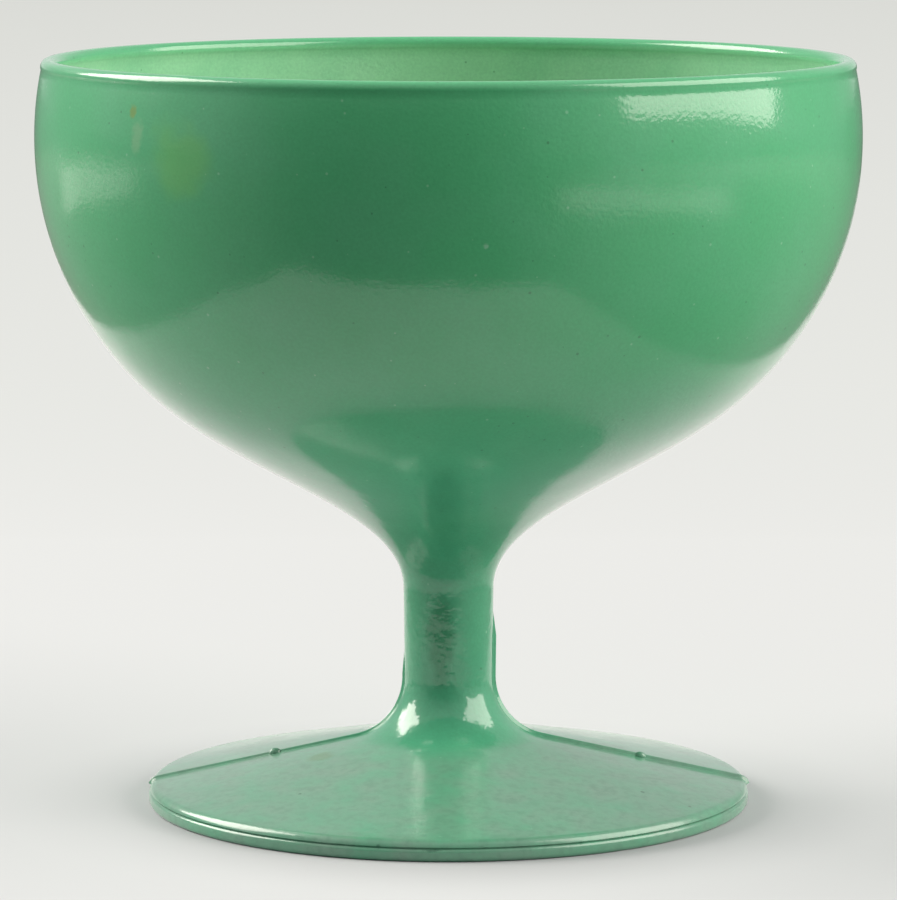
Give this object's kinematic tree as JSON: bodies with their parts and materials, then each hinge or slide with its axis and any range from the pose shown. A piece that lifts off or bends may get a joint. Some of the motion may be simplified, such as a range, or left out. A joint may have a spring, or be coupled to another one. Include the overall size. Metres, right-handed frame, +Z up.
{
  "type": "sherbet glass",
  "caption": "Footed sherbet glass in opaque green glass: a wide round bowl with a turned-in lip, a short plain stem and a shallow conical foot with a mould seam.",
  "frame": {"origin": "centre of the resting plane, under the middle of the foot", "axes": "+Z up along the axis of the bowl, stem and foot; the mould seam lies in the XZ plane, so -Y is the side between the two seam lines"},
  "size_m": [0.095, 0.095, 0.0866],
  "materials": {
    "blown_glass": "opaque jade-green glass, fire-polished and glossy, with faint ripples and seeds, a little lighter and yellower where the wall is thin",
    "pressed_glass": "opaque jade-green glass, glossy but slightly wavy from the mould, with raised seam lines"
  },
  "bodies": {
    "root": {"bowl": "blown_glass", "stem": "pressed_glass", "foot": "pressed_glass"}
  },
  "joints": []
}
